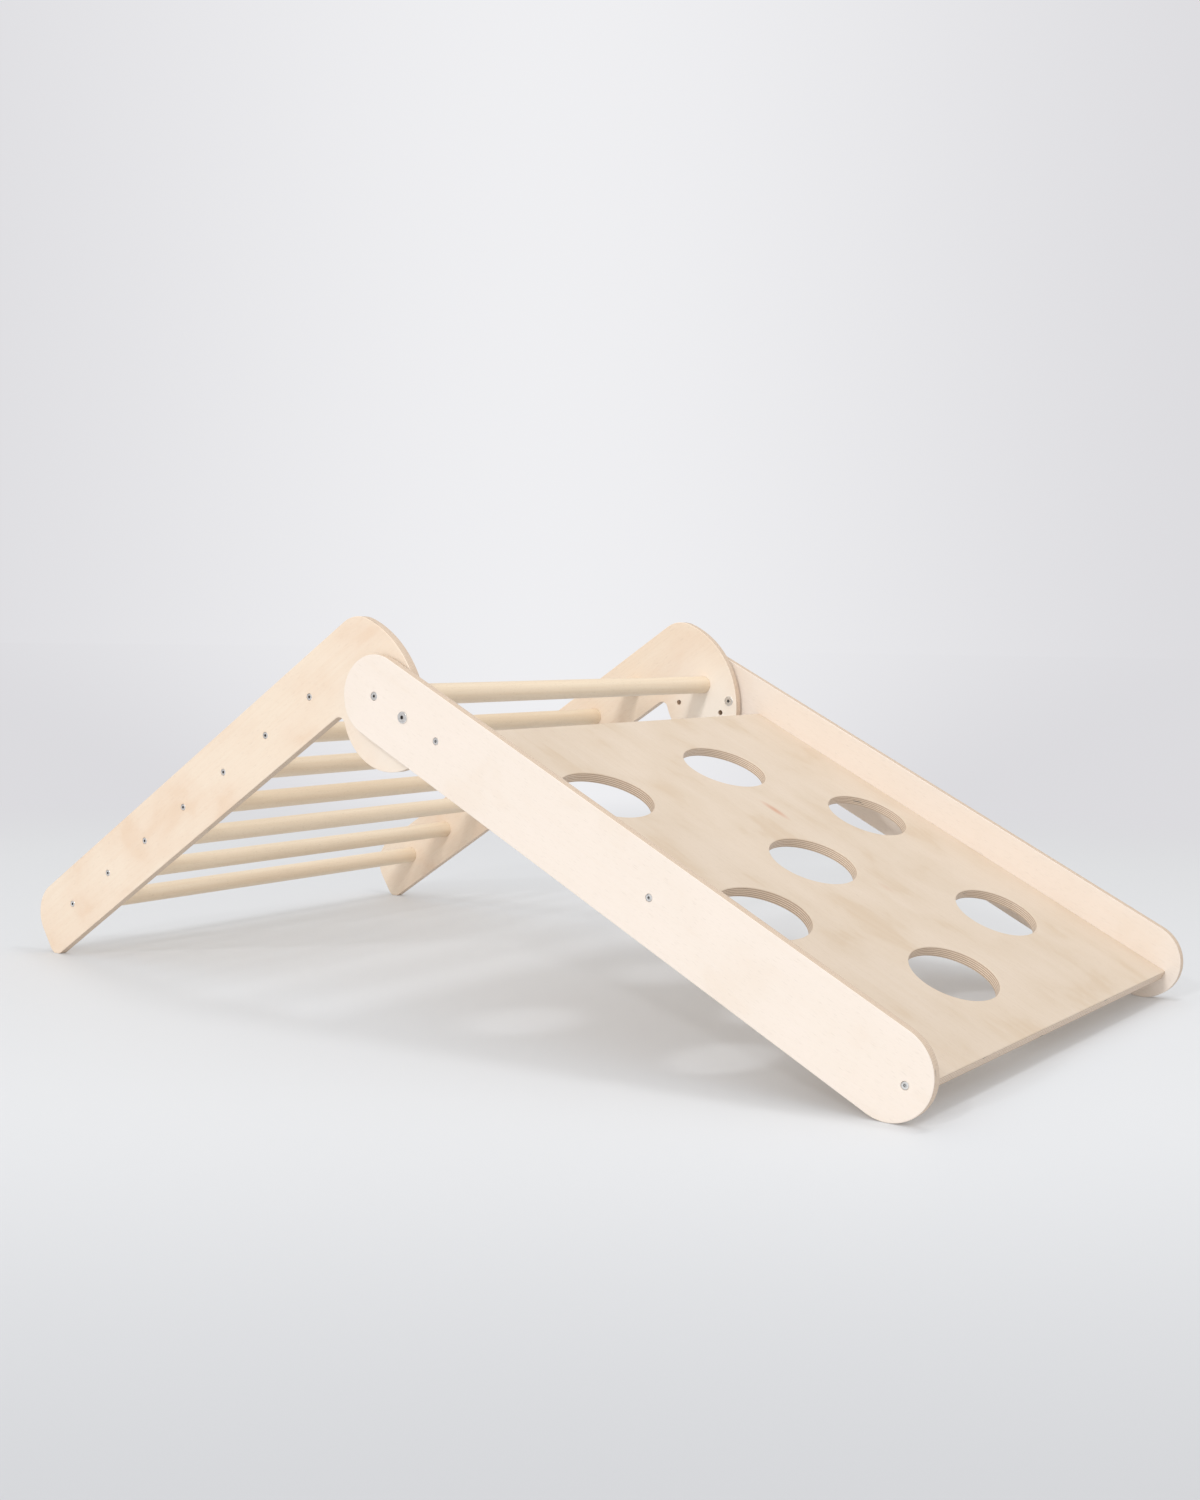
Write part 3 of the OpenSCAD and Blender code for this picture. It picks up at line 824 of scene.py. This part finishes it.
def make_world():
    """A pale room that lights the object more from above than from its sides."""
    world = bpy.data.worlds.new("studio")
    bpy.context.scene.world = world
    n = Nodes(world)
    direction = n.vector("NORMALIZE", n.add("TexCoord").outputs["Generated"])
    seen = n.add("LightPath").outputs["Is Camera Ray"]
    lift = n.vector("DOT_PRODUCT", direction, (0.30, -0.20, 0.93), output=1)
    room = n.mix(n.step(lift, -0.35, 1.0), ROOM_LOW, ROOM_HIGH)
    tone = n.mix(seen, room, backdrop_tone(n, direction))
    n.tree.links.new(tone, n.made["Background"].inputs["Color"])


FLOOR_LIFT = 0.14         # share of a warm glow that lightens the shadows on the floor
FLOOR_LEVEL = -0.2 * MM   # just under the feet
FLOOR_FADE = (1.75, 3.0)  # distances from the middle between which the floor turns into the backdrop
# The floor gets painted light: its colour and its glow are darker in front of the object, as light that
# falls off towards the front
FLOOR_RISE = (-2.0, -0.7)  # distances behind the middle between which the floor gets lighter


def make_floor(radius):
    """A pale floor that fades into the backdrop's own tone away from the object."""
    mesh = bpy.data.meshes.new("floor")
    rim = circle(ZERO, radius, OVAL_FLATS)
    mesh.from_pydata([(p.x, p.y, FLOOR_LEVEL) for p in rim], [], [list(range(len(rim)))])
    material, n, shader = new_shader("floor", 0.6, Specular_IOR_Level=0.2)
    place = n.object_place()
    away = n.vector("LENGTH", place, output=1)
    yaw = math.radians(CAMERA_YAW)
    behind = n.vector("DOT_PRODUCT", place, (-math.sin(yaw), math.cos(yaw), 0), output=1)
    # Painted light: the floor's colour and its glow are darker in front of the object and lighter behind it
    share = n.step(behind, *FLOOR_RISE)
    tone = n.mix(share, (0.565, 0.585, 0.62), (0.75, 0.78, 0.82))
    n.tree.links.new(tone, shader.inputs["Base Color"])
    glow = n.add("Emission", {"Color": backdrop_tone(n, n.vector("NORMALIZE", place)), "Strength": 1.0})
    warm = n.mix(share, (0.63, 0.60, 0.58), (0.83, 0.78, 0.74))
    lift = n.add("Emission", {"Color": warm, "Strength": 1.0})
    lit = n.add("MixShader", {0: FLOOR_LIFT, 1: shader.outputs[0], 2: lift.outputs[0]})
    blend = n.add("MixShader", {0: n.step(away, *FLOOR_FADE), 1: lit.outputs[0], 2: glow.outputs[0]})
    below = n.add("NewGeometry").outputs["Backfacing"]
    open_below = n.add("MixShader", {0: below, 1: blend.outputs[0],
                                     2: n.add("BsdfTransparent").outputs[0]})
    n.tree.links.new(open_below.outputs[0], n.made["Material Output"].inputs[0])
    mesh.materials.append(material)
    floor = bpy.data.objects.new("floor", mesh)
    bpy.context.scene.collection.objects.link(floor)


def area_light(name, place, size, power):
    """A soft square light that faces the middle of the object."""
    data = bpy.data.lights.new(name, "AREA")
    data.size = size
    data.energy = power
    lamp = bpy.data.objects.new(name, data)
    bpy.context.scene.collection.objects.link(lamp)
    lamp.location = place
    lamp.rotation_euler = (Vector((0, 0, 0.2)) - Vector(place)).to_track_quat("-Z", "Y").to_euler()
    lamp.visible_camera = False


make_world()
make_floor(radius=40.0)
area_light("front", (0.50, -7.00, 1.80), size=0.30, power=76)
area_light("key", (0.90, -5.00, 3.60), size=0.35, power=40)
area_light("fill", (-1.20, -6.00, 0.60), size=1.50, power=8)
area_light("high", (1.00, 0.10, 2.70), size=0.45, power=10)
bpy.context.scene.view_settings.view_transform = "Standard"
